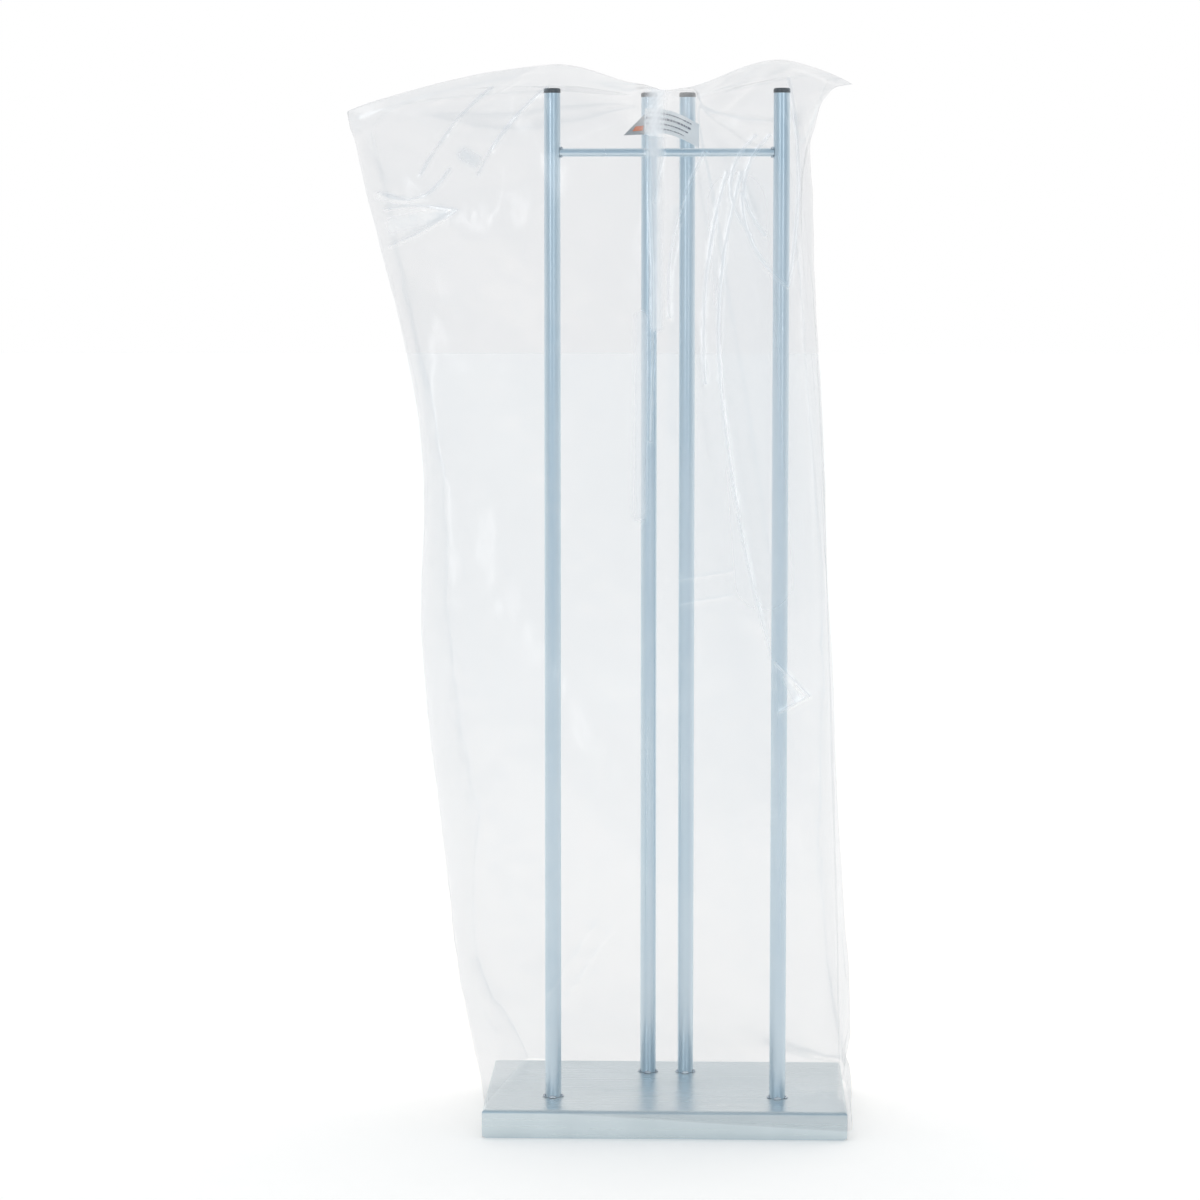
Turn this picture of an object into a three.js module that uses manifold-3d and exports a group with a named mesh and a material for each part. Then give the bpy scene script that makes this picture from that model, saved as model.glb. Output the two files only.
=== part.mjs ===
// A freestanding holder for long plastic bags: a folded sheet-steel tray, four round posts
// welded on it, one cross bar between the front posts, push-in end caps, and the clear bag
// that hangs over the whole stand with its mouth round the tray.
// Millimetres. +X is to the right, +Y to the back, +Z up.
// The origin is the centre of the tray's top face.
import * as THREE from "three";
import { mergeGeometries, mergeVertices } from "three/addons/utils/BufferGeometryUtils.js";
import { ParametricGeometry } from "three/addons/geometries/ParametricGeometry.js";
import Module from "manifold-3d";

const manifold = await Module();
manifold.setup();

const GAP = 0.3; // between pieces that touch

const TRAY = {
  width: 450,
  depth: 285,
  height: 35,
  sheet: 1.5,
  bend: 4.5, // outer radius where a flange turns down
  cornerRadius: 6, // on the lower corners of each flange
  slit: 0.5, // between neighbouring flanges, up to the bend
};
const TUBE = { radius: 10, bore: 8.5, top: 1245 };
const CAP = { radius: 10.3, height: 6, edge: 2.4, crown: 0.4, stem: 7.6, rib: 8.3, stemLength: 12, ribs: 2 };
const BAR = { radius: 5, height: 1173 }; // height of its axis over the tray
const FRONT_Y = TRAY.depth / -2 + 78;
const BACK_Y = FRONT_Y + 144;
const POSTS = {
  front_left: [-140, FRONT_Y],
  front_right: [140, FRONT_Y],
  back_left: [-24, BACK_Y],
  back_right: [24, BACK_Y],
};
const FOOT_BEAD = { along: 4.6, out: 3, up: 3 }; // half sizes of a tack weld at a foot
const BAR_BEAD = { along: 1.9, out: 2.2, up: 1.9 };

const ROUND = 48; // facets round a tube
const BEND_STEPS = 6; // facets in a quarter-turn bend
const EDGE_STEPS = 4; // facets over the rounded edge of a cap
const BEAD_FACETS = [14, 8]; // round a weld bead and over it

const zinc = new THREE.MeshStandardMaterial({ color: 0xb4c8d4, metalness: 0.9, roughness: 0.3 });
const sheetSteel = new THREE.MeshStandardMaterial({ color: 0xb9c6c4, metalness: 0.85, roughness: 0.35 });
const weldMetal = new THREE.MeshStandardMaterial({ color: 0xc8cdd0, metalness: 0.9, roughness: 0.25 });
const capPlastic = new THREE.MeshStandardMaterial({ color: 0x4a4d50, metalness: 0, roughness: 0.6 });
const labelPaper = new THREE.MeshStandardMaterial({ color: 0xf2f2ef, metalness: 0, roughness: 0.7 });
const film = new THREE.MeshStandardMaterial({
  color: 0xeef1f3,
  metalness: 0,
  roughness: 0.15,
  transparent: true,
  opacity: 0.3,
  side: THREE.DoubleSide,
});

const holder = new THREE.Group();

function addPiece(name, geometry, material, position = [0, 0, 0]) {
  const mesh = new THREE.Mesh(geometry, material);
  mesh.name = name;
  mesh.position.set(...position);
  holder.add(mesh);
}

// ---- solids and booleans ----

// One closed mesh with shared vertices and no triangle of zero area.
function closed(geometry) {
  const bare = geometry.clone();
  bare.deleteAttribute("normal");
  bare.deleteAttribute("uv");
  const merged = mergeVertices(bare, 1e-3);
  const { array } = merged.index;
  const kept = [];
  for (let i = 0; i < array.length; i += 3) {
    const [a, b, c] = [array[i], array[i + 1], array[i + 2]];
    if (a !== b && b !== c && c !== a) {
      kept.push(a, b, c);
    }
  }
  merged.setIndex(kept);
  return merged;
}

// Turns every face to look the other way.
function turnFaces(corners) {
  for (let i = 0; i < corners.length; i += 3) {
    [corners[i], corners[i + 1]] = [corners[i + 1], corners[i]];
  }
}

function toSolid(geometry) {
  const mesh = closed(geometry);
  return new manifold.Manifold(
    new manifold.Mesh({
      numProp: 3,
      vertProperties: new Float32Array(mesh.attributes.position.array),
      triVerts: new Uint32Array(mesh.index.array),
    }),
  );
}

function toGeometry(solid) {
  const { vertProperties, triVerts } = solid.getMesh();
  const geometry = new THREE.BufferGeometry();
  geometry.setAttribute("position", new THREE.BufferAttribute(vertProperties, 3));
  geometry.setIndex(new THREE.BufferAttribute(triVerts, 1));
  geometry.computeVertexNormals();
  return geometry;
}

function box(low, high) {
  const size = high.map((value, i) => value - low[i]);
  const geometry = new THREE.BoxGeometry(...size);
  geometry.translate(...high.map((value, i) => (value + low[i]) / 2));
  return geometry;
}

function uprightCylinder(radius, low, high, x, y) {
  const geometry = new THREE.CylinderGeometry(radius, radius, high - low, ROUND);
  geometry.rotateX(Math.PI / 2);
  geometry.translate(x, y, (low + high) / 2);
  return geometry;
}

// ---- tray ----

// A block with its two upper edges rounded: the outline lies in X and Z, and runs along Y.
function archedBlock(width, top, bottom, radius, length) {
  const half = width / 2;
  const outline = new THREE.Shape();
  outline.moveTo(-half, bottom);
  outline.lineTo(half, bottom);
  outline.lineTo(half, top - radius);
  outline.absarc(half - radius, top - radius, radius, 0, Math.PI / 2, false);
  outline.lineTo(radius - half, top);
  outline.absarc(radius - half, top - radius, radius, Math.PI / 2, Math.PI, false);
  const geometry = new THREE.ExtrudeGeometry(outline, {
    depth: length,
    bevelEnabled: false,
    curveSegments: BEND_STEPS,
  });
  geometry.rotateX(Math.PI / 2);
  geometry.translate(0, length / 2, 0);
  return geometry;
}

// Rounded along all four upper edges, as two arched blocks have in common.
function roundedBlock(width, depth, top, bottom, radius) {
  const alongY = toSolid(archedBlock(width, top, bottom, radius, depth));
  const turned = archedBlock(depth, top, bottom, radius, width);
  turned.rotateZ(Math.PI / 2);
  return alongY.intersect(toSolid(turned));
}

// What a rounded lower corner takes off a flange: a square less a quarter disc.
// It lies in X and Z with the sharp corner at the origin, and the flange to its left and above.
function cornerCutter(radius, thickness) {
  const outline = new THREE.Shape();
  outline.moveTo(1, -1);
  outline.lineTo(1, radius);
  outline.lineTo(0, radius);
  outline.absarc(-radius, radius, radius, 0, -Math.PI / 2, true);
  outline.lineTo(-radius, -1);
  const geometry = new THREE.ExtrudeGeometry(outline, {
    depth: thickness,
    bevelEnabled: false,
    curveSegments: BEND_STEPS,
  });
  geometry.rotateX(Math.PI / 2);
  return geometry;
}

function trayGeometry() {
  const { width, depth, height, sheet, bend, cornerRadius, slit } = TRAY;
  const below = -height - 5;
  const outer = roundedBlock(width, depth, 0, -height, bend);
  const hollow = roundedBlock(width - 2 * sheet, depth - 2 * sheet, -sheet, below, bend - sheet);
  let tray = outer.subtract(hollow);
  const deep = sheet + slit / 2;
  for (const turn of [0, Math.PI]) {
    for (const side of [1, -1]) {
      // front and back flange: rounded where they end at the tray's corner
      const end = cornerCutter(cornerRadius, deep + 1);
      end.scale(side, 1, 1);
      end.translate((side * width) / 2, -depth / 2 + deep, -height);
      end.rotateZ(turn);
      tray = tray.subtract(mirrored(end, side));
      // left and right flange: a slit beside the front or back one, then its own rounded corner
      const inner = depth / 2 - sheet - slit;
      const low = [width / 2 - sheet - 1, inner, -height - 1];
      const high = [width / 2 + 1, inner + slit, -bend - 1];
      const gap = box(low, high);
      gap.scale(1, side, 1);
      gap.rotateZ(turn);
      tray = tray.subtract(mirrored(gap, side));
      const corner = cornerCutter(cornerRadius, sheet + 2);
      corner.rotateZ(Math.PI / 2);
      corner.translate(width / 2 - sheet - 1, inner, -height);
      corner.scale(1, side, 1);
      corner.rotateZ(turn);
      tray = tray.subtract(mirrored(corner, side));
    }
  }
  return toGeometry(tray);
}

// A solid from a geometry that a scale of -1 may have turned inside out.
function mirrored(geometry, side) {
  const mesh = closed(geometry);
  if (side < 0) {
    turnFaces(mesh.index.array);
  }
  return toSolid(mesh);
}

// ---- posts, caps and cross bar ----

function turnedPiece(profile) {
  const geometry = new THREE.LatheGeometry(profile, ROUND);
  geometry.rotateX(Math.PI / 2);
  return closed(geometry);
}

function tubeGeometry() {
  const { radius, bore, top } = TUBE;
  const profile = [
    new THREE.Vector2(bore, GAP),
    new THREE.Vector2(radius, GAP),
    new THREE.Vector2(radius, top),
    new THREE.Vector2(bore, top),
    new THREE.Vector2(bore, GAP),
  ];
  return turnedPiece(profile);
}

// A ribbed stem that grips inside the tube, and a rounded head that covers its end.
function capGeometry() {
  const { radius, height, edge, crown, stem, rib, stemLength, ribs } = CAP;
  const seat = TUBE.top + GAP;
  const foot = seat - stemLength;
  const pitch = stemLength / (ribs + 1);
  const points = [[0, foot], [stem, foot]];
  for (let i = 1; i <= ribs; i += 1) {
    points.push([stem, foot + pitch * (i - 0.5)], [rib, foot + pitch * i], [stem, foot + pitch * i]);
  }
  points.push([stem, seat], [radius, seat]);
  const middle = seat + height - crown - edge;
  for (let i = 0; i <= EDGE_STEPS; i += 1) {
    const angle = (i / EDGE_STEPS) * (Math.PI / 2);
    points.push([radius - edge + edge * Math.cos(angle), middle + edge * Math.sin(angle)]);
  }
  points.push([0, seat + height]);
  return turnedPiece(points.map(([out, up]) => new THREE.Vector2(out, up)));
}

// Round bar whose ends are hollowed to fit the two front posts.
function barGeometry() {
  const reach = POSTS.front_right[0];
  const bar = new THREE.CylinderGeometry(BAR.radius, BAR.radius, 2 * reach, ROUND);
  bar.rotateZ(Math.PI / 2);
  bar.translate(0, FRONT_Y, BAR.height);
  let solid = toSolid(bar);
  for (const x of [-reach, reach]) {
    const post = uprightCylinder(TUBE.radius + GAP, BAR.height - 20, BAR.height + 20, x, FRONT_Y);
    solid = solid.subtract(toSolid(post));
  }
  return toGeometry(solid);
}

// ---- tack welds ----

function beadSolid({ along, out, up }) {
  const bead = new THREE.SphereGeometry(1, ...BEAD_FACETS);
  bead.scale(along, out, up);
  return bead;
}

// A bead in the corner between a post's foot and the tray. angle is its place round the post.
function footBeadGeometry([x, y], angle) {
  const bead = beadSolid(FOOT_BEAD);
  bead.translate(0, -TUBE.radius - GAP, GAP);
  bead.rotateZ(angle);
  bead.translate(x, y, 0);
  const post = uprightCylinder(TUBE.radius + GAP, -10, 20, x, y);
  const reach = TUBE.radius + 2 * FOOT_BEAD.along;
  const tray = box([x - reach, y - reach, -10], [x + reach, y + reach, GAP]);
  return toGeometry(toSolid(bead).subtract(toSolid(post)).subtract(toSolid(tray)));
}

// A bead where the cross bar's end meets a post, over or under the bar.
function barBeadGeometry(side, over) {
  const reach = POSTS.front_right[0];
  const bead = beadSolid(BAR_BEAD);
  const x = side * (reach - TUBE.radius - 1.4);
  bead.translate(x, FRONT_Y - 2.2, BAR.height + over * (BAR.radius + 0.1));
  const post = uprightCylinder(TUBE.radius + GAP, BAR.height - 20, BAR.height + 20, side * reach, FRONT_Y);
  const bar = new THREE.CylinderGeometry(BAR.radius + GAP, BAR.radius + GAP, 2 * reach, ROUND);
  bar.rotateZ(Math.PI / 2);
  bar.translate(0, FRONT_Y, BAR.height);
  return toGeometry(toSolid(bead).subtract(toSolid(post)).subtract(toSolid(bar)));
}

// ---- bag ----

const FILM = 0.8; // wall of the bag's solid; the film itself is far thinner
const MOUTH = [TRAY.width / 2 + 5, TRAY.depth / 2 + 5.5]; // half the mouth's width and depth
// From the mouth up: left, right, front, back, the heights of the left and right side, and the
// power that says how boxy the level is, where 2 is an ellipse.
const LEVELS = [
  [-MOUTH[0], MOUTH[0], -MOUTH[1], MOUTH[1], -12, -12, 40],
  [-250, 230, -150, 148, 90, 70, 14],
  [-305, 200, -136, 140, 600, 600, 8],
  [-300, 195, -125, 130, 800, 800, 8],
  [-360, 170, -100, 115, 1125, 1125, 8],
  [-385, 165, -95, 110, 1180, 1190, 8],
];
// The sealed top edge crests over the posts, sags between them and falls away to an ear at each
// end: places along X and heights.
const CREST = { x: POSTS.front_right[0], left: 1284, right: 1288 };
const SAG = 31;
const EARS = { left: [-400, 1225], right: [235, 1255] };
const EAR_FALL = 1.5; // 1 is a straight fall, more starts flatter
// The roof's two rings: front, back, greatest height, and how far under the sealed edge.
const SHOULDER = [-97, 109, 1253, 3];
const SEALED = [30, 30, Infinity, 0];
const EAR = 15; // how many thicknesses of film the inside stops short of an ear
const TOP_POWER = 4;
const RING_POINTS = 64; // round each level of the bag

function seamHeight(x) {
  const { lerp } = THREE.MathUtils;
  if (Math.abs(x) < CREST.x) {
    const share = (x + CREST.x) / (2 * CREST.x);
    return lerp(CREST.left, CREST.right, share) - SAG * Math.sin(Math.PI * share) ** 2;
  }
  const side = x < 0 ? "left" : "right";
  const [earX, earHeight] = EARS[side];
  const share = (Math.abs(x) - CREST.x) / (Math.abs(earX) - CREST.x);
  return lerp(CREST[side], earHeight, share ** EAR_FALL);
}

// Rounded first, so that a sine of nearly 0 isn't raised to something that shows.
function signedPower(value, power) {
  const rounded = Math.abs(value) < 1e-9 ? 0 : value;
  return Math.sign(rounded) * Math.abs(rounded) ** power;
}

// A level's point at this angle, drawn in by inset all round. The angle runs from 0 at the right,
// over the back, and round to the front.
function levelPoint([left, right, front, back, leftZ, rightZ, power], angle, inset) {
  const share = (signedPower(Math.cos(angle), 2 / power) + 1) / 2;
  const deep = (signedPower(Math.sin(angle), 2 / power) + 1) / 2;
  const x = THREE.MathUtils.lerp(left + inset, right - inset, share);
  const y = THREE.MathUtils.lerp(front + inset, back - inset, deep);
  return new THREE.Vector3(x, y, THREE.MathUtils.lerp(leftZ, rightZ, share));
}

// The same for a ring of the roof, whose height follows the sealed edge. The inside stops short of
// the two ears, where the front and back of the bag lie on each other.
function roofPoint([front, back, height, drop], angle, inset) {
  const [left, right] = [EARS.left[0] + drop, EARS.right[0] - drop];
  const between = front < back ? inset : 0;
  const point = levelPoint([left, right, front, back, 0, 0, TOP_POWER], angle, between);
  point.x = THREE.MathUtils.clamp(point.x, left + EAR * inset, right - EAR * inset);
  point.z = Math.min(height, seamHeight(point.x) - drop) - inset;
  return point;
}

// One side of the film's wall, ring by ring from the mouth up to the sealed edge.
function wallRings(inset) {
  return [
    ...LEVELS.map((level) => (angle) => levelPoint(level, angle, inset)),
    (angle) => roofPoint(SHOULDER, angle, inset),
    (angle) => roofPoint(SEALED, angle, inset),
  ];
}

function skinGeometry(rings) {
  const skin = (u, v, target) => {
    const ring = Math.round(v * (rings.length - 1));
    target.copy(rings[ring](u * 2 * Math.PI));
  };
  return new ParametricGeometry(skin, RING_POINTS, rings.length - 1);
}

// The outside, the inside, and the rim that joins them round the mouth.
function bagGeometry() {
  const [outer, inner] = [wallRings(0), wallRings(FILM)];
  const inside = skinGeometry(inner);
  turnFaces(inside.index.array);
  const rim = skinGeometry([inner[0], outer[0]]);
  return closed(mergeGeometries([skinGeometry(outer), inside, rim]));
}

// ---- label ----

const LABEL = { width: 92, height: 40, thick: 0.5, x: -5, y: 52, z: 1207, wave: 5 };

// A limp slip of paper: a wavy strip seen from above, as tall as the slip.
function labelGeometry() {
  const { width, height, thick, wave } = LABEL;
  const steps = 16;
  const edge = (offset) =>
    Array.from({ length: steps + 1 }, (_, i) => {
      const share = i / steps;
      const x = (share - 0.5) * width;
      return new THREE.Vector2(x, wave * Math.sin(share * 2 * Math.PI) + offset);
    });
  const outline = new THREE.Shape([...edge(-thick / 2), ...edge(thick / 2).reverse()]);
  const geometry = new THREE.ExtrudeGeometry(outline, { depth: height, bevelEnabled: false });
  geometry.translate(0, 0, -height / 2);
  return geometry;
}

// ---- the assembly ----

addPiece("base_tray", trayGeometry(), sheetSteel);
for (const [place, [x, y]] of Object.entries(POSTS)) {
  addPiece(`post_${place}`, tubeGeometry(), zinc, [x, y, 0]);
  addPiece(`cap_${place}`, capGeometry(), capPlastic, [x, y, 0]);
  ["front", "right", "rear", "left"].forEach((side, i) => {
    addPiece(`foot_weld_${place}_${side}`, footBeadGeometry([x, y], (i * Math.PI) / 2), weldMetal);
  });
}
addPiece("cross_bar", barGeometry(), zinc);
for (const [end, side] of [["left", -1], ["right", 1]]) {
  addPiece(`bar_weld_${end}_upper`, barBeadGeometry(side, 1), weldMetal);
  addPiece(`bar_weld_${end}_lower`, barBeadGeometry(side, -1), weldMetal);
}
addPiece("clear_bag", bagGeometry(), film);
addPiece("bag_label", labelGeometry(), labelPaper, [LABEL.x, LABEL.y, LABEL.z]);

export default holder;
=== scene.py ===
"""Looks for the bag holder: metal, plastic and film materials, the clear bag and its label."""
import math

import bmesh
import bpy
import numpy as np
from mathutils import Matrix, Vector


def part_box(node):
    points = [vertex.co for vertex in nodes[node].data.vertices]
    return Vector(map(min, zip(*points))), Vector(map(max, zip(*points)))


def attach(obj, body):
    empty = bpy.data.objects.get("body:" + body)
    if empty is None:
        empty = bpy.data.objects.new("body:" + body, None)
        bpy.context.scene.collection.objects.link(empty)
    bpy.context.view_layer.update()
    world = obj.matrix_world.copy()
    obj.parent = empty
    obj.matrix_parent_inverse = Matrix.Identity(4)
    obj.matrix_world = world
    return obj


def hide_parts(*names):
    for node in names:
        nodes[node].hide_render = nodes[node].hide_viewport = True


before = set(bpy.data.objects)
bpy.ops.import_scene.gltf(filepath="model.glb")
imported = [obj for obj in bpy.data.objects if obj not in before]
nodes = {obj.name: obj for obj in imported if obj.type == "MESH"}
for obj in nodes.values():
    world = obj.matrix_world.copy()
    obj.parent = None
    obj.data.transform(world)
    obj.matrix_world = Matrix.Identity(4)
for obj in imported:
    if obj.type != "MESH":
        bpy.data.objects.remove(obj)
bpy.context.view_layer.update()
MM = 0.001

# ---------------------------------------------------------------- places from the parts in model.glb

tray_low, tray_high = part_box("base_tray")
bag_low, bag_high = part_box("clear_bag")
label_low, label_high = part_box("bag_label")
POST_NAMES = ("front_left", "front_right", "back_left", "back_right")
posts = {n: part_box(f"post_{n}") for n in POST_NAMES}
caps = {n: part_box(f"cap_{n}") for n in POST_NAMES}
bar_low, bar_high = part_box("cross_bar")
FLOOR_Z = tray_low.z
CAP_TOP = caps["front_left"][1].z


def middle(low, high):
    return (low + high) / 2


# ---------------------------------------------------------------- material helpers


class Nodes:
    """A material's node tree, with short ways to add and link nodes."""

    def __init__(self, name):
        self.material = bpy.data.materials.new(name)
        self.material.use_nodes = True
        self.tree = self.material.node_tree
        self.tree.nodes.clear()
        self.out = self.add("ShaderNodeOutputMaterial")

    def add(self, kind, **values):
        node = self.tree.nodes.new(kind)
        for key, value in values.items():
            setattr(node, key, value)
        return node

    def link(self, a, b):
        self.tree.links.new(a, b)

    def coordinates(self, scale=(1, 1, 1)):
        place = self.add("ShaderNodeTexCoord")
        mapping = self.add("ShaderNodeMapping")
        mapping.inputs["Scale"].default_value = scale
        self.link(place.outputs["Object"], mapping.inputs["Vector"])
        return mapping.outputs["Vector"]

    def noise(self, vector, scale, detail=3.0, rough=0.5, distortion=0.0):
        node = self.add("ShaderNodeTexNoise")
        node.inputs["Scale"].default_value = scale
        node.inputs["Detail"].default_value = detail
        node.inputs["Roughness"].default_value = rough
        node.inputs["Distortion"].default_value = distortion
        self.link(vector, node.inputs["Vector"])
        return node.outputs["Fac"]

    def ramp(self, value, stops):
        """stops are (position, grey or colour)."""
        node = self.add("ShaderNodeValToRGB")
        elements = node.color_ramp.elements
        while len(elements) < len(stops):
            elements.new(0.5)
        for element, (position, colour) in zip(elements, stops):
            element.position = position
            grey = isinstance(colour, (int, float))
            element.color = (colour, colour, colour, 1) if grey else (*colour, 1)
        self.link(value, node.inputs["Fac"])
        return node.outputs["Color"]

    def maths(self, operation, *values):
        node = self.add("ShaderNodeMath", operation=operation)
        for socket, value in zip(node.inputs, values):
            if isinstance(value, (int, float)):
                socket.default_value = value
            else:
                self.link(value, socket)
        return node.outputs[0]

    def mixed(self, factor, a, b):
        node = self.add("ShaderNodeMix", data_type="RGBA")
        self.link(factor, node.inputs["Factor"])
        for socket, value in ((node.inputs["A"], a), (node.inputs["B"], b)):
            if isinstance(value, tuple):
                socket.default_value = (*value, 1)
            else:
                self.link(value, socket)
        return node.outputs["Result"]

    def bump(self, height, strength, distance, normal=None):
        node = self.add("ShaderNodeBump")
        node.inputs["Strength"].default_value = strength
        node.inputs["Distance"].default_value = distance
        self.link(height, node.inputs["Height"])
        if normal is not None:
            self.link(normal, node.inputs["Normal"])
        return node.outputs["Normal"]

    def principled(self, **values):
        node = self.add("ShaderNodeBsdfPrincipled")
        for key, value in values.items():
            socket = node.inputs[key.replace("_", " ")]
            if isinstance(value, bpy.types.NodeSocket):
                self.link(value, socket)
            else:
                socket.default_value = (*value, 1) if isinstance(value, tuple) else value
        self.link(node.outputs[0], self.out.inputs["Surface"])
        return node


def tube_material():
    """Bright zinc plating on drawn tube: bluish, with faint draw lines and a few scuffs."""
    m = Nodes("zinc_tube")
    lines = m.noise(m.coordinates((260, 260, 2)), 1.0, 3)
    clouds = m.noise(m.coordinates((1, 1, 0.35)), 14.0, 4, 0.6)
    scuffs = m.noise(m.coordinates((60, 60, 9)), 1.6, 6, 0.7)
    tint = m.ramp(clouds, [(0.3, (0.63, 0.745, 0.82)), (0.7, (0.70, 0.80, 0.86))])
    worn = m.ramp(scuffs, [(0.68, 0.0), (0.76, 0.3)])
    colour = m.mixed(worn, tint, (0.82, 0.86, 0.88))
    rough = m.ramp(lines, [(0.25, 0.26), (0.75, 0.34)])
    normal = m.bump(lines, 0.05, 0.0002)
    m.principled(Base_Color=colour, Metallic=1.0, Roughness=rough, Normal=normal)
    return m.material


def sheet_material():
    """Zinc-coated sheet: grey-green, soft mill streaks along X, and small handling marks."""
    m = Nodes("sheet_steel")
    streaks = m.noise(m.coordinates((5, 230, 230)), 1.0, 4)
    clouds = m.noise(m.coordinates(), 9.0, 3, 0.55)
    specks = m.noise(m.coordinates(), 260.0, 2)
    tint = m.ramp(clouds, [(0.3, (0.64, 0.705, 0.725)), (0.7, (0.71, 0.77, 0.79))])
    marks = m.ramp(specks, [(0.70, 0.0), (0.76, 0.4)])
    colour = m.mixed(marks, tint, (0.70, 0.75, 0.76))
    rough = m.ramp(streaks, [(0.25, 0.24), (0.75, 0.36)])
    normal = m.bump(streaks, 0.08, 0.0004)
    m.principled(Base_Color=colour, Metallic=1.0, Roughness=rough, Normal=normal)
    return m.material


def weld_material():
    """A bright, lumpy tack weld with a heat-tinted edge."""
    m = Nodes("weld_metal")
    lumps = m.noise(m.coordinates(), 700.0, 3, 0.6)
    heat = m.noise(m.coordinates(), 160.0, 2)
    colour = m.ramp(heat, [(0.35, (0.42, 0.46, 0.50)), (0.65, (0.80, 0.82, 0.83))])
    rough = m.ramp(lumps, [(0.3, 0.12), (0.7, 0.34)])
    normal = m.bump(lumps, 0.7, 0.0006)
    m.principled(Base_Color=colour, Metallic=1.0, Roughness=rough, Normal=normal)
    return m.material


def cap_material():
    """Moulded dark grey plastic with a fine spark texture and paler rubbed spots."""
    m = Nodes("cap_plastic")
    grain = m.noise(m.coordinates(), 1900.0, 2)
    rubs = m.noise(m.coordinates(), 210.0, 4, 0.65)
    colour = m.ramp(rubs, [(0.35, (0.045, 0.048, 0.052)), (0.72, (0.10, 0.105, 0.11))])
    rough = m.ramp(rubs, [(0.3, 0.5), (0.7, 0.36)])
    normal = m.bump(grain, 0.25, 0.0002)
    m.principled(Base_Color=colour, Roughness=rough, Normal=normal, Specular_IOR_Level=0.45)
    return m.material


def film_material():
    """Thin polythene: clear, slightly grey and milky, with glossy highlights on every crease."""
    m = Nodes("clear_film")
    ripples = m.noise(m.coordinates((1, 1, 0.4)), 13.0, 4, 0.6, 0.6)
    fine = m.noise(m.coordinates((1, 1, 0.6)), 70.0, 4, 0.6)
    clouds = m.noise(m.coordinates(), 6.0, 3)
    soft = m.bump(ripples, 0.30, 0.006)
    normal = m.bump(fine, 0.10, 0.0012, soft)
    through = m.add("ShaderNodeBsdfTransparent")
    through.inputs["Color"].default_value = (0.925, 0.926, 0.930, 1)
    white = m.add("ShaderNodeMixShader")
    for index, kind in enumerate(("ShaderNodeBsdfDiffuse", "ShaderNodeBsdfTranslucent")):
        side = m.add(kind)
        side.inputs["Color"].default_value = (0.95, 0.955, 0.965, 1)
        m.link(side.outputs[0], white.inputs[index + 1])
    shine, milk = (m.add("ShaderNodeAttribute", attribute_name=n).outputs["Fac"]
                   for n in ("shine", "milk"))
    haze = m.maths("MAXIMUM", milk, m.ramp(clouds, [(0.3, 0.03), (0.7, 0.06)]))
    body = m.add("ShaderNodeMixShader")
    m.link(haze, body.inputs[0])
    m.link(through.outputs[0], body.inputs[1])
    m.link(white.outputs[0], body.inputs[2])
    gloss = m.add("ShaderNodeBsdfGlossy")
    gloss.inputs["Color"].default_value = (1, 1, 1, 1)
    m.link(m.maths("MULTIPLY_ADD", shine, 0.18, 0.19), gloss.inputs["Roughness"])
    m.link(normal, gloss.inputs["Normal"])
    fresnel = m.add("ShaderNodeFresnel")
    fresnel.inputs["IOR"].default_value = 1.48
    share = m.maths("MINIMUM", m.maths("MULTIPLY", fresnel.outputs[0], 1.0), 0.24)
    whole = m.add("ShaderNodeMixShader")
    m.link(m.maths("MULTIPLY_ADD", shine, 0.30, share), whole.inputs[0])
    m.link(body.outputs[0], whole.inputs[1])
    m.link(gloss.outputs[0], whole.inputs[2])
    m.link(whole.outputs[0], m.out.inputs["Surface"])
    return m.material


def paper_material():
    """Thin white slip with a soft fibre."""
    m = Nodes("label_paper")
    fibre = m.noise(m.coordinates(), 900.0, 4, 0.6)
    cloud = m.noise(m.coordinates(), 60.0, 3)
    colour = m.ramp(cloud, [(0.3, (0.90, 0.90, 0.89)), (0.7, (0.97, 0.97, 0.96))])
    m.principled(
        Base_Color=colour, Roughness=0.55, Normal=m.bump(fibre, 0.2, 0.0002),
        Specular_IOR_Level=0.4,
    )
    return m.material


def ink_material(name, colour):
    m = Nodes(name)
    fade = m.noise(m.coordinates(), 500.0, 3)
    light = tuple(min(1.0, c * 1.5 + 0.05) for c in colour)
    m.principled(Base_Color=m.ramp(fade, [(0.35, colour), (0.75, light)]), Roughness=0.6)
    return m.material


# ---------------------------------------------------------------- CAD nodes keep their shape


def dress(prefix, material):
    for name, node in nodes.items():
        if name.startswith(prefix):
            node.data.materials.clear()
            node.data.materials.append(material)


tube, sheet, weld, plastic = tube_material(), sheet_material(), weld_material(), cap_material()
dress("post_", tube)
dress("cross_bar", tube)
dress("base_tray", sheet)
dress("cap_", plastic)
dress("foot_weld", weld)
dress("bar_weld", weld)

# ---------------------------------------------------------------- the clear bag

FLAT_WIDTH = 0.732  # the bag laid flat
COLUMNS = 120  # round the bag: the first half is the front, from the left fold to the right one
ROWS = 112  # from the mouth to the sealed edge

CREST_X = middle(*posts["front_right"]).x  # the sealed edge crests over the posts
LEFT_CREST, RIGHT_CREST = bag_high.z - 0.004, bag_high.z
SAG = 0.031  # of the sealed edge between the posts
LEFT_EAR, RIGHT_EAR = (bag_low.x, 1.225), (bag_high.x, 1.255)
EAR_FALL = 1.5  # 1 is a straight fall from a crest to an ear, more starts flatter
FOLD_Y = -0.008  # depth at which the left and right folds hang

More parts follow.
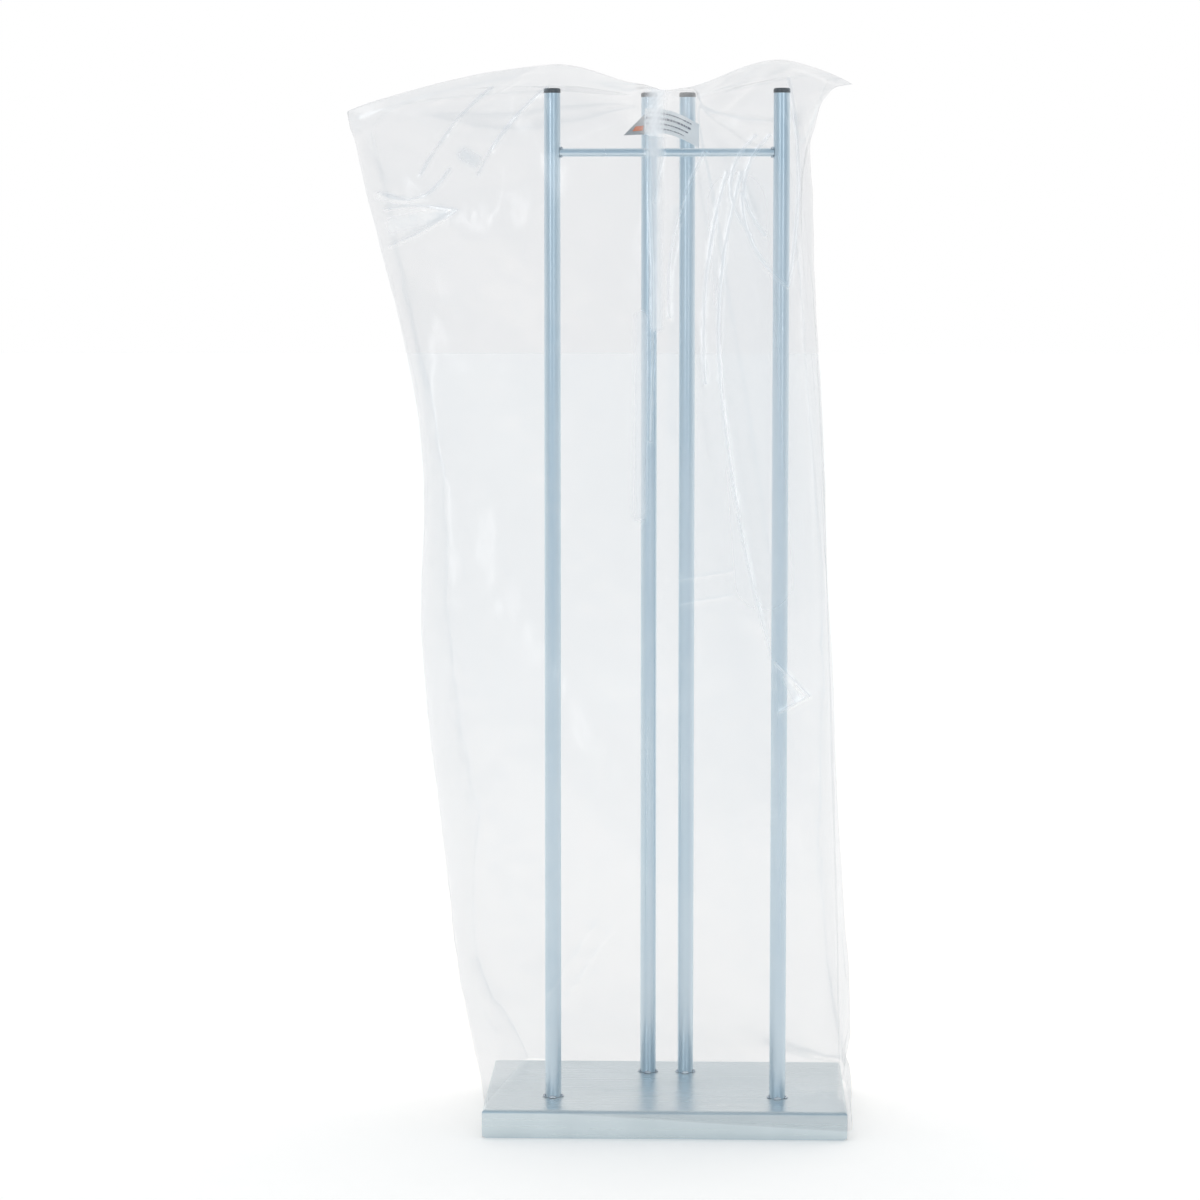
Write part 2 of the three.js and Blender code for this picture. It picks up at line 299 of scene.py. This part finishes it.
# Each level of the bag in millimetres: its share of the way up, its left, right, front and back,
# the heights of its left and right side, and how boxy its left and right halves are, where 2 is
# an ellipse. The upper levels taper to the left ear and stand square round the front right post.
LEVELS = [
    (0.00, -205, 232, -145, 146, 2, -24, 40, 40),
    (0.07, -245, 234, -146, 144, 95, 66, 8, 8),
    (0.27, -280, 216, -146, 148, 345, 345, 4, 6),
    (0.46, -305, 200, -135, 138, 600, 600, 4, 8),
    (0.60, -300, 195, -120, 130, 790, 790, 4, 10),
    (0.75, -335, 182, -100, 115, 990, 990, 3, 12),
    (0.89, -385, 170, -92, 105, 1180, 1190, 3, 14),
]
HEM_SLANT = 0.14  # the hem's left side leans in towards the back, on the tray
COLLAR = 0.955  # the share of the way up at which the film bends over the caps
COLLAR_INSETS = (0.005, 0.034)  # how far its left and right ends stop short of the ears
COLLAR_Y = -0.012  # its depth at the ears
COLLAR_FORWARD, COLLAR_DIP = 0.074, 0.032  # how far forward it is over the posts, less in between
COLLAR_BELOW, COLLAR_SAG = 0.023, 0.027  # under the sealed edge, and more between the posts
COLLAR_BEHIND, BEHIND_BELOW = 0.122, 0.006  # how far back it reaches, and how far under the edge
EDGE_Y = -0.015  # the sealed edge's depth at the ears
EDGE_FORWARD, EDGE_BACK = 0.031, 0.130  # forward over the posts, and back half way between them
SECTION_POINTS = 181  # in half a section, before it is divided evenly


def beyond_post(x):
    """0 over the posts to 1 at an ear."""
    ear = LEFT_EAR[0] if x < 0 else RIGHT_EAR[0]
    return min(max((abs(x) - CREST_X) / (abs(ear) - CREST_X), 0.0), 1.0)


def between_posts(x):
    """0 from the posts outwards to 1 half way between them."""
    return math.sin(math.pi * (x + CREST_X) / (2 * CREST_X)) ** 2 if abs(x) < CREST_X else 0.0


def edge_height(x):
    share = min(max((x + CREST_X) / (2 * CREST_X), 0.0), 1.0)
    crest = LEFT_CREST + (RIGHT_CREST - LEFT_CREST) * share
    ear = LEFT_EAR[1] if x < 0 else RIGHT_EAR[1]
    return crest - SAG * between_posts(x) - (crest - ear) * beyond_post(x) ** EAR_FALL


def section(left, right, front, back, left_z, right_z, left_power, right_power):
    """The front of a level from its left fold to its right one, and its back the other way."""
    sides = []
    for reach, way in ((front * MM - FOLD_Y, 1), (back * MM - FOLD_Y, -1)):
        points = []
        for angle in np.linspace(0, math.pi, SECTION_POINTS)[::way]:
            power = left_power if math.cos(angle) > 0 else right_power
            turn = math.copysign(abs(math.cos(angle)) ** (2 / power), math.cos(angle))
            share = (1 - turn) / 2
            y = FOLD_Y + reach * max(math.sin(angle), 0.0) ** (2 / power)
            x = (left + (right - left) * share) * MM
            points.append((x, y, (left_z + (right_z - left_z) * share) * MM))
        sides.append(np.array(points))
    return sides


def hem():
    """The lowest level, with its left side slanted."""
    left, right = LEVELS[0][1:3]
    sides = section(*LEVELS[0][1:])
    for side in sides:
        share = (side[:, 0] - left * MM) / ((right - left) * MM)
        side[:, 0] += HEM_SLANT * side[:, 1] * (1 - share)
    return sides


def collar():
    """The level just under the sealed edge, bent over the caps and hanging in between them."""
    across = np.linspace(
        LEFT_EAR[0] + COLLAR_INSETS[0], RIGHT_EAR[0] - COLLAR_INSETS[1], SECTION_POINTS
    )
    front = [
        (
            x,
            COLLAR_Y - COLLAR_FORWARD * (1 - beyond_post(x) ** EAR_FALL)
            + COLLAR_DIP * between_posts(x),
            edge_height(x) - COLLAR_BELOW - COLLAR_SAG * between_posts(x),
        )
        for x in across
    ]
    back = [
        (x, COLLAR_Y + COLLAR_BEHIND * math.sin(math.pi * share), edge_height(x) - BEHIND_BELOW)
        for x, share in zip(across[::-1], np.linspace(0, 1, SECTION_POINTS))
    ]
    back[0], back[-1] = front[-1], front[0]
    return [np.array(front), np.array(back)]


def sealed_edge():
    across = np.linspace(LEFT_EAR[0], RIGHT_EAR[0], SECTION_POINTS)
    front = np.array([
        (x, EDGE_Y - EDGE_FORWARD * (1 - beyond_post(x)) + EDGE_BACK * between_posts(x),
         edge_height(x))
        for x in across
    ])
    return [front, front[::-1]]


def evenly(line, count):
    """This many points along a line, all as far from the next."""
    steps = np.linalg.norm(np.diff(line, axis=0), axis=1)
    along = np.concatenate([[0], np.cumsum(steps)])
    want = np.linspace(0, along[-1], count)
    return np.stack([np.interp(want, along, line[:, i]) for i in range(3)], 1)


def smooth_between(keys, values, want):
    """Catmull-Rom through the values at these keys, without overshoot at the ends."""
    slopes = np.gradient(values, keys, axis=0)
    slopes[0] = (values[1] - values[0]) / (keys[1] - keys[0])
    slopes[-1] = (values[-1] - values[-2]) / (keys[-1] - keys[-2])
    found = []
    for t in want:
        i = min(max(np.searchsorted(keys, t) - 1, 0), len(keys) - 2)
        h = keys[i + 1] - keys[i]
        s = (t - keys[i]) / h
        a = (1 + 2 * s) * (1 - s) ** 2 * values[i] + s * (1 - s) ** 2 * h * slopes[i]
        b = s * s * (3 - 2 * s) * values[i + 1] + s * s * (s - 1) * h * slopes[i + 1]
        found.append(a + b)
    return np.array(found)


def draped_bag():
    """Points of the hanging bag, one row of COLUMNS for each height, in metres."""
    half = COLUMNS // 2
    levels = [hem(), *(section(*level[1:]) for level in LEVELS[1:]), collar(), sealed_edge()]
    keys = np.array([*(level[0] for level in LEVELS), COLLAR, 1.0])
    rings = [
        np.vstack([evenly(front, half + 1)[:-1], evenly(back, half + 1)[:-1]])
        for front, back in levels
    ]
    return smooth_between(keys, np.array(rings), np.linspace(0, 1, ROWS + 1))


def flat_bag(draped):
    """The same points with the bag laid flat, each row as far from the next as when it hangs."""
    half = COLUMNS // 2
    across = np.concatenate([np.arange(half), np.arange(half, 0, -1)]) / half
    steps = np.linalg.norm(np.diff(draped, axis=0), axis=2)
    height = np.vstack([np.zeros(COLUMNS), np.cumsum(steps, axis=0)])
    height += height[-1].max() - height[-1]
    flat = np.zeros_like(draped)
    flat[:, :, 0] = (across - 0.5) * FLAT_WIDTH
    flat[:, :, 1] = np.where(np.arange(COLUMNS) < half, -0.0005, 0.0005)
    flat[:, :, 2] = height * 1.006
    return flat


def bag_faces():
    """Quads round the bag; the front's and the back's top row share their points, as sealed."""
    half = COLUMNS // 2
    top = ROWS * COLUMNS

    def index(row, column):
        column %= COLUMNS
        if row == ROWS and column > half:
            column = COLUMNS - column
        return row * COLUMNS + column

    faces = []
    for row in range(ROWS):
        for column in range(COLUMNS):
            corners = [
                index(row, column), index(row, column + 1),
                index(row + 1, column + 1), index(row + 1, column),
            ]
            faces.append(list(dict.fromkeys(corners)))
    return [f for f in faces if len(f) > 2], top + half + 1


def mesh_object(name, points, faces, material, smooth=True):
    mesh = bpy.data.meshes.new(name)
    mesh.from_pydata([tuple(p) for p in points], [], faces)
    mesh.validate()
    mesh.update()
    if smooth:
        mesh.polygons.foreach_set("use_smooth", np.ones(len(mesh.polygons), bool))
    mesh.materials.append(material)
    made = bpy.data.objects.new(name, mesh)
    bpy.context.scene.collection.objects.link(made)
    return made


def obstacle(name, low, high, round_post=False):
    """A stand-in that the film rests on while it settles, taken away afterwards."""
    centre, size = middle(low, high), high - low
    if round_post:
        bpy.ops.mesh.primitive_cylinder_add(
            vertices=24, radius=size.x / 2, depth=size.z, location=centre
        )
    else:
        bpy.ops.mesh.primitive_cube_add(size=1, location=centre)
        bpy.context.object.scale = size
    made = bpy.context.object
    made.name = name
    bpy.ops.object.transform_apply(location=False, rotation=False, scale=True)
    made.modifiers.new("collision", "COLLISION")
    made.collision.thickness_outer = 0.002
    made.collision.thickness_inner = 0.006
    made.collision.cloth_friction = 2.0
    return made


def settle(bag, flat, frames=36):
    """Lets the film find its own folds between its sealed top edge and its hem, on the posts."""
    half = COLUMNS // 2
    count = len(bag.data.vertices)
    pins = np.zeros(count)
    pins[:COLUMNS] = 1.0
    pins[COLUMNS:4 * COLUMNS] = 0.5
    for row in range(4, ROWS):
        for fold in (0, half):
            for near in (-2, -1, 0, 1, 2):
                pins[row * COLUMNS + (fold + near) % COLUMNS] = 0.45 / (1 + abs(near))
    pins[ROWS * COLUMNS:] = 1.0
    group = bag.vertex_groups.new(name="held")
    for i in np.nonzero(pins)[0]:
        group.add([int(i)], float(pins[i]), "REPLACE")
    bag.shape_key_add(name="Basis")
    rest = bag.shape_key_add(name="flat")
    rest.data.foreach_set("co", flat.reshape(-1, 3)[:count].ravel())
    cloth = bag.modifiers.new("cloth", "CLOTH")
    settings = cloth.settings
    settings.quality = 8
    settings.mass = 0.05
    settings.air_damping = 3.0
    settings.tension_stiffness = settings.compression_stiffness = 25
    settings.shear_stiffness = 12
    settings.bending_model = "ANGULAR"
    settings.bending_stiffness = 6
    settings.tension_damping = settings.compression_damping = 12
    settings.bending_damping = 2
    settings.vertex_group_mass = "held"
    settings.pin_stiffness = 1.5
    settings.rest_shape_key = rest
    settings.effector_weights.gravity = 0.15
    cloth.collision_settings.distance_min = 0.002
    cloth.collision_settings.collision_quality = 3
    cloth.point_cache.frame_end = frames
    obstacles = [
        obstacle(f"rest_{n}", posts[n][0], Vector((*posts[n][1].xy, CAP_TOP)), round_post=True)
        for n in POST_NAMES
    ]
    obstacles.append(obstacle("rest_bar", bar_low, bar_high))
    obstacles.append(obstacle("rest_tray", tray_low, tray_high))
    scene = bpy.context.scene
    scene.frame_end = frames
    for step in range(1, frames + 1):
        scene.frame_set(step)
    evaluated = bag.evaluated_get(bpy.context.evaluated_depsgraph_get())
    places = np.zeros(count * 3)
    evaluated.data.vertices.foreach_get("co", places)
    bag.modifiers.clear()
    bag.shape_key_clear()
    bag.data.vertices.foreach_set("co", places)
    scene.frame_set(1)
    for made in obstacles:
        bpy.data.objects.remove(made)


# ---------------------------------------------------------------- folds and milky places

LEFT_X, RIGHT_X, PLEAT_X = (
    middle(*posts[n]).x / MM for n in ("front_left", "front_right", "back_left")
)
CAP_Z, BAR_Z = CAP_TOP / MM, middle(bar_low, bar_high).z / MM


def arc(start, end, bow=0.0):
    """An arc in the front layer from one (x, z) in millimetres to another, bowed to its left."""
    start, end = np.array(start, float), np.array(end, float)
    along = end - start
    side = np.array([-along[1], along[0]]) / np.linalg.norm(along)
    return [tuple(start + along * t + side * bow * 4 * t * (1 - t)) for t in np.linspace(0, 1, 9)]


def under_edge(left, right, drop):
    """A line that keeps this far under the sealed edge."""
    return [(x, edge_height(x * MM) / MM - drop) for x in np.linspace(left, right, 12)]


# Folds: how sharp, and the line.
FOLDS = [
    (0.3, under_edge(LEFT_X - 240, LEFT_X, 14)),
    (0.4, under_edge(RIGHT_X + 10, RIGHT_X + 80, 14)),
    # the fan that the left cap pulls out of the film
    *((0.7, arc((LEFT_X - start, CAP_Z), (LEFT_X - start - 85, CAP_Z - 105), -8)) for start in (5, 75)),
    (0.7, arc((LEFT_X - 125, BAR_Z - 20), (LEFT_X - 215, BAR_Z - 50), 22)),
    (0.7, arc((LEFT_X - 205, BAR_Z - 70), (LEFT_X - 115, BAR_Z - 70), 4)),
    (0.8, arc((LEFT_X - 115, BAR_Z - 70), (LEFT_X - 200, BAR_Z - 115), 3)),
    # the pleat that hangs from the dip over the back left post
    (1.0, arc((PLEAT_X, BAR_Z), (PLEAT_X + 5, BAR_Z - 350), 5)),
    (0.6, arc((PLEAT_X + 20, BAR_Z), (PLEAT_X + 10, BAR_Z - 60))),
    # sweeps that fall from the cross bar between the back right post and the front right one
    (0.7, arc((PLEAT_X + 70, BAR_Z), (PLEAT_X + 28, BAR_Z - 200), -15)),
    *((0.75, arc((RIGHT_X - foot + 25, BAR_Z - 25), (RIGHT_X - foot, BAR_Z - 280), -12))
      for foot in (92, 74)),
    (0.55, arc((RIGHT_X - 74, BAR_Z - 280), (RIGHT_X - 10, BAR_Z - 615), -8)),
    # the loop round the front right post, and two arcs beside it
    (0.8, arc((RIGHT_X - 48, BAR_Z - 50), (RIGHT_X + 8, BAR_Z - 163), -16)),
    (0.8, arc((RIGHT_X + 8, BAR_Z - 163), (RIGHT_X + 8, CAP_Z + 10), -12)),
    *((0.7, arc((RIGHT_X - near, BAR_Z + 20), (RIGHT_X - near - 6, BAR_Z - 100), -28))
      for near in (15, 32)),
    # the small peak low on the right side
    (0.9, arc((RIGHT_X - 5, BAR_Z - 620), (RIGHT_X + 35, BAR_Z - 660))),
    (0.8, arc((RIGHT_X + 35, BAR_Z - 660), (RIGHT_X, BAR_Z - 680))),
    # steps where the slack gathers, and two long soft folds over the hem
    *((0.45, arc((20, z), (80, z + 10))) for z in (625, 655)),
    *((0.3, arc((LEFT_X + start, 140), (LEFT_X + start + 60, 230))) for start in (-5, 20)),
]
# Places where the front layer is doubled and looks milky: how strong, half its width, its line.
MILKY = [
    (0.8, 11, arc((PLEAT_X + 9, CAP_Z), (PLEAT_X + 9, BAR_Z))),
    (0.7, 8, arc((PLEAT_X + 9, BAR_Z), (PLEAT_X + 12, BAR_Z - 210))),
    (0.45, 9, arc((PLEAT_X - 6, BAR_Z - 200), (PLEAT_X - 8, BAR_Z - 440))),
    (0.30, 65, arc((85, BAR_Z - 60), (RIGHT_X - 20, BAR_Z - 520))),
    (0.18, 90, arc((80, 750), (90, 430))),
]
# Places that catch the light, in the same form.
SHINY = [
    (0.8, 6, arc((LEFT_X - 212, BAR_Z - 52), (LEFT_X - 180, BAR_Z - 60))),
    (0.95, 11, arc((LEFT_X - 195, BAR_Z - 88), (LEFT_X - 135, BAR_Z - 76))),
    (0.85, 9, arc((LEFT_X - 108, BAR_Z - 2), (LEFT_X - 92, BAR_Z - 10))),
    (0.4, 7, arc((12, BAR_Z - 70), (8, BAR_Z - 360))),
    (0.8, 6, arc((RIGHT_X + 8, BAR_Z - 640), (RIGHT_X + 20, BAR_Z - 662))),
]


def distance_to(seen, line):
    best = np.full(len(seen), np.inf)
    line = np.array(line)
    for a, b in zip(line[:-1], line[1:]):
        along = b - a
        t = np.clip((seen - a) @ along / (along @ along), 0, 1)
        best = np.minimum(best, np.linalg.norm(seen - a - t[:, None] * along, axis=1))
    return best


def from_the_front(places):
    """Each place's (x, z) in millimetres."""
    return places[:, (0, 2)] / MM


def crease_at(seen, width):
    """0 to 1: how much of a fold passes each place, for folds this wide in millimetres."""
    found = np.zeros(len(seen))
    for strength, line in FOLDS:
        found = np.maximum(found, strength * np.exp(-((distance_to(seen, line) / width) ** 2)))
    return found


def strips_at(seen, strips):
    found = np.zeros(len(seen))
    for strength, width, line in strips:
        found = np.maximum(found, strength * np.exp(-((distance_to(seen, line) / width) ** 3)))
    return found


def positions(mesh, name="co", width=3):
    values = np.zeros(len(mesh.vertices) * width)
    mesh.vertices.foreach_get(name, values)
    return values.reshape(-1, width)


def front_share(bag):
    """1 for each vertex of the front layer, 0 for the back."""
    index = bag.vertex_groups["front"].index
    return np.array([
        next((g.weight for g in v.groups if g.group == index), 0.0) for v in bag.data.vertices
    ])


def refine_near_creases(bag):
    """Smaller faces where a crease passes, so that its ridge is sharp."""
    mesh = bag.data
    seen = from_the_front(positions(mesh))
    near = (crease_at(seen, 9.0) > 0.06) & (front_share(bag) > 0.5)
    work = bmesh.new()
    work.from_mesh(mesh)
    work.verts.ensure_lookup_table()
    edges = {e for i in np.nonzero(near)[0] for f in work.verts[i].link_faces for e in f.edges}
    bmesh.ops.subdivide_edges(
        work, edges=sorted(edges, key=lambda e: e.index), cuts=3, use_grid_fill=True
    )
    work.to_mesh(mesh)
    work.free()
    mesh.polygons.foreach_set("use_smooth", np.ones(len(mesh.polygons), bool))


def crease(bag):
    """Raises the creases outwards, and marks what shines or is milky for the film's material."""
    mesh = bag.data
    places = positions(mesh)
    front = front_share(bag) > 0.5
    seen = from_the_front(places)
    normals = positions(mesh, "normal")
    outward = np.sign((normals * (places - (-0.05, 0, 0.6))).sum(1))[:, None]
    ridge = np.where(front, crease_at(seen, 4.0), 0)
    places += normals * outward * (ridge * 0.0016)[:, None]
    mesh.vertices.foreach_set("co", places.ravel())
    shine = np.maximum(crease_at(seen, 2.3), strips_at(seen, SHINY))
    for name, values in (("shine", shine), ("milk", strips_at(seen, MILKY))):
        layer = mesh.attributes.new(name, "FLOAT", "POINT")
        layer.data.foreach_set("value", np.where(front, values, 0).astype(np.float32))
    mesh.update()


def subdivide(bag):
    modifier = bag.modifiers.new("finer", "SUBSURF")
    modifier.levels = 1
    evaluated = bag.evaluated_get(bpy.context.evaluated_depsgraph_get())
    finer = bpy.data.meshes.new_from_object(evaluated)
    bag.modifiers.clear()
    bag.data = finer


film = film_material()
draped = draped_bag()
faces, used = bag_faces()
bag = mesh_object("bag_film", draped.reshape(-1, 3)[:used], faces, film)
front_group = bag.vertex_groups.new(name="front")
front_group.add([i for i in range(used) if i % COLUMNS <= COLUMNS // 2], 1.0, "REPLACE")
settle(bag, flat_bag(draped))
subdivide(bag)
refine_near_creases(bag)
crease(bag)
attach(bag, "bag")
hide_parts("clear_bag")

# ---------------------------------------------------------------- the label

paper = paper_material()


SLIP_TALL = 0.030
SLIP_FALL = 0.020  # from its left end to its right one
SLIP_COLUMNS, SLIP_ROWS = 48, 20


def slip_point(s, t, lift=0.0):
    """A place on the slip: s from its left to its right end, t from its foot to its top."""
    x = label_low.x + 0.022 + s * (label_high.x - label_low.x - 0.024)
    arch = 0.006 * math.sin(math.pi * s)
    z = middle(label_low, label_high).z + SLIP_FALL * (0.4 - s) + arch + SLIP_TALL * (t - 0.5)
    y = 0.026 + 0.014 * t + 0.003 * math.sin(7 * s + 1.5 * t) - lift * MM
    return x, y, z


def grid_faces(columns, rows):
    wide = columns + 1
    return [
        (j * wide + i, j * wide + i + 1, (j + 1) * wide + i + 1, (j + 1) * wide + i)
        for j in range(rows) for i in range(columns)
    ]


def slip_sheet():
    points = [
        slip_point(i / SLIP_COLUMNS, j / SLIP_ROWS)
        for j in range(SLIP_ROWS + 1) for i in range(SLIP_COLUMNS + 1)
    ]
    return mesh_object("bag_slip", points, grid_faces(SLIP_COLUMNS, SLIP_ROWS), paper)


def slip_corner():
    """The lower left corner of the slip, folded over and seen from its back; its mid grey is painted
    shade on the folded paper.
    """
    x, y, z = slip_point(0.0, 0.0, 2.0)
    points = [(x - 0.026, y, z - 0.004), (x, y, z + 0.022), (x, y, z - 0.003)]
    return mesh_object("bag_slip_corner", points, [(0, 1, 2)], corner_shade_paper, False)


def dash_marks():
    """Plain grey dashes in four lines: generic marks, with no lettering."""
    points, faces = [], []
    for line, (t, tall, first) in enumerate([(0.82, 1.8, 0.10), (0.60, 2.8, 0.02),
                                             (0.38, 1.8, 0.04), (0.18, 1.4, 0.08)]):
        s = first
        step = 0
        while s < 0.86 - 0.05 * line:
            long = 0.018 + 0.012 * ((step * 7 + line * 3) % 4)
            start = len(points)
            for i in range(4):
                for up in (-0.5, 0.5):
                    points.append(slip_point(s + long * i / 3, t + up * tall / 34, 0.5))
            faces += [(start + 2 * i, start + 2 * i + 2, start + 2 * i + 3, start + 2 * i + 1)
                      for i in range(3)]
            s += long + 0.012
            step += 1
    return mesh_object("bag_slip_marks", points, faces, ink_material("grey_ink", (0.16, 0.16, 0.19)))


def tab_mark():
    x, y, z = slip_point(0.0, 0.0, 3.0)
    points = [(x - 0.015, y, z + 0.001), (x - 0.002, y, z + 0.002),
              (x - 0.001, y, z + 0.008), (x - 0.011, y, z + 0.007)]
    ink = ink_material("orange_ink", (0.72, 0.16, 0.05))
    return mesh_object("bag_slip_tab", points, [(0, 1, 2, 3)], ink, False)


# painted shade: the folded corner is the same white paper, painted mid grey where it turns away from
# the light
corner_shade_paper = Nodes("label_corner_painted_shade")
corner_shade_paper.principled(
    Base_Color=corner_shade_paper.ramp(corner_shade_paper.noise(corner_shade_paper.coordinates(), 120.0), [(0.3, 0.42), (0.7, 0.52)]),
    Roughness=0.5,
)
corner_shade_paper = corner_shade_paper.material
label = slip_sheet()
for piece in (label, slip_corner(), dash_marks(), tab_mark()):
    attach(piece, "bag")
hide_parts("bag_label")

# ---------------------------------------------------------------- stage, light and camera


def stage_material():
    """Matt white, lit from within a little more the further it is from the holder."""
    m = Nodes("stage_floor")
    grain = m.noise(m.coordinates(), 40.0, 3)
    away = m.add("ShaderNodeVectorMath", operation="LENGTH")
    m.link(m.coordinates(), away.inputs[0])
    glow = m.ramp(m.maths("MULTIPLY", away.outputs["Value"], 0.1),
                  [(0.0, 0.225), (0.10, 0.225), (0.22, 0.30), (0.45, 0.385), (1.0, 0.385)])
    surface = m.principled(
        Base_Color=m.ramp(grain, [(0.3, (0.91, 0.86, 0.815)), (0.7, (0.93, 0.88, 0.835))]),
        Roughness=0.8,
    )
    surface.inputs["Emission Color"].default_value = (1, 1, 1, 1)
    m.link(glow, surface.inputs["Emission Strength"])
    return m.material


def add_stage():
    mesh = bpy.data.meshes.new("floor")
    reach, ahead = 30, 5
    mesh.from_pydata(
        [(-reach, -ahead, FLOOR_Z), (reach, -ahead, FLOOR_Z), (reach, reach, FLOOR_Z),
         (-reach, reach, FLOOR_Z)], [], [(0, 1, 2, 3)]
    )
    mesh.materials.append(stage_material())
    floor = bpy.data.objects.new("floor", mesh)
    bpy.context.scene.collection.objects.link(floor)


def add_world():
    """A white studio: white behind the holder, and a dim, bluish room behind the camera."""
    world = bpy.data.worlds.new("studio")
    world.use_nodes = True
    tree = world.node_tree
    background = tree.nodes["Background"]
    place = tree.nodes.new("ShaderNodeTexCoord")
    split = tree.nodes.new("ShaderNodeSeparateXYZ")
    ramp = tree.nodes.new("ShaderNodeValToRGB")
    shift = tree.nodes.new("ShaderNodeMath")
    shift.operation = "MULTIPLY_ADD"
    shift.inputs[1].default_value = shift.inputs[2].default_value = 0.5
    elements = ramp.color_ramp.elements
    stops = [
        (0.0, (0.50, 0.61, 0.70)), (0.06, (0.42, 0.54, 0.63)), (0.30, (0.40, 0.50, 0.58)),
        (0.55, (0.62, 0.67, 0.71)), (0.72, (1.0, 1.0, 1.0)),
    ]
    while len(elements) < len(stops):
        elements.new(0.5)
    for element, (position, colour) in zip(elements, stops):
        element.position = position
        element.color = (*colour, 1)
    tree.links.new(place.outputs["Generated"], split.inputs[0])
    tree.links.new(split.outputs["Y"], shift.inputs[0])
    tree.links.new(shift.outputs[0], ramp.inputs["Fac"])
    tree.links.new(ramp.outputs["Color"], background.inputs["Color"])
    background.inputs["Strength"].default_value = 1.0
    # the backdrop itself is plain white from every side; the room only lights and reflects
    backdrop = tree.nodes.new("ShaderNodeBackground")
    path = tree.nodes.new("ShaderNodeLightPath")
    either = tree.nodes.new("ShaderNodeMixShader")
    tree.links.new(path.outputs["Is Camera Ray"], either.inputs[0])
    tree.links.new(background.outputs[0], either.inputs[1])
    tree.links.new(backdrop.outputs[0], either.inputs[2])
    tree.links.new(either.outputs[0], tree.nodes["World Output"].inputs["Surface"])
    backdrop.inputs["Color"].default_value = (1, 1, 1, 1)
    bpy.context.scene.world = world


def add_light(name, place, target, size, power, colour=(1, 1, 1)):
    data = bpy.data.lights.new(name, "AREA")
    data.shape = "RECTANGLE"
    data.size, data.size_y = size
    data.energy = power
    data.color = colour
    light = bpy.data.objects.new(name, data)
    light.location = place
    light.rotation_euler = (Vector(target) - Vector(place)).to_track_quat("-Z", "Y").to_euler()
    bpy.context.scene.collection.objects.link(light)
    return light


def add_camera():
    """In front, a little to the right of the middle, at the height of the cross bar's bay."""
    data = bpy.data.cameras.new("camera")
    data.sensor_width = 36
    data.lens = 112.7
    camera = bpy.data.objects.new("camera", data)
    camera.location = (0.0583, -4.680, 1.0757)
    camera.rotation_euler = (math.pi / 2 - 0.0975, 0, 0.0303)
    bpy.context.scene.collection.objects.link(camera)
    bpy.context.scene.camera = camera


add_stage()
add_world()
centre = (0, 0, 0.6)
add_light("key", (-2.0, -4.2, 1.9), (-0.1, 0, 0.8), (0.6, 1.7), 11)
add_light("fill", (1.9, -4.2, 1.5), (0.1, 0, 0.7), (0.4, 1.4), 6)
overhead = add_light("top", (0.0, 0.6, 3.4), (0, 0, 0), (2.4, 1.8), 30)
overhead.visible_glossy = False  # it lights the tray without a glare on the film's roof
add_camera()
bpy.context.scene.view_settings.view_transform = "Standard"
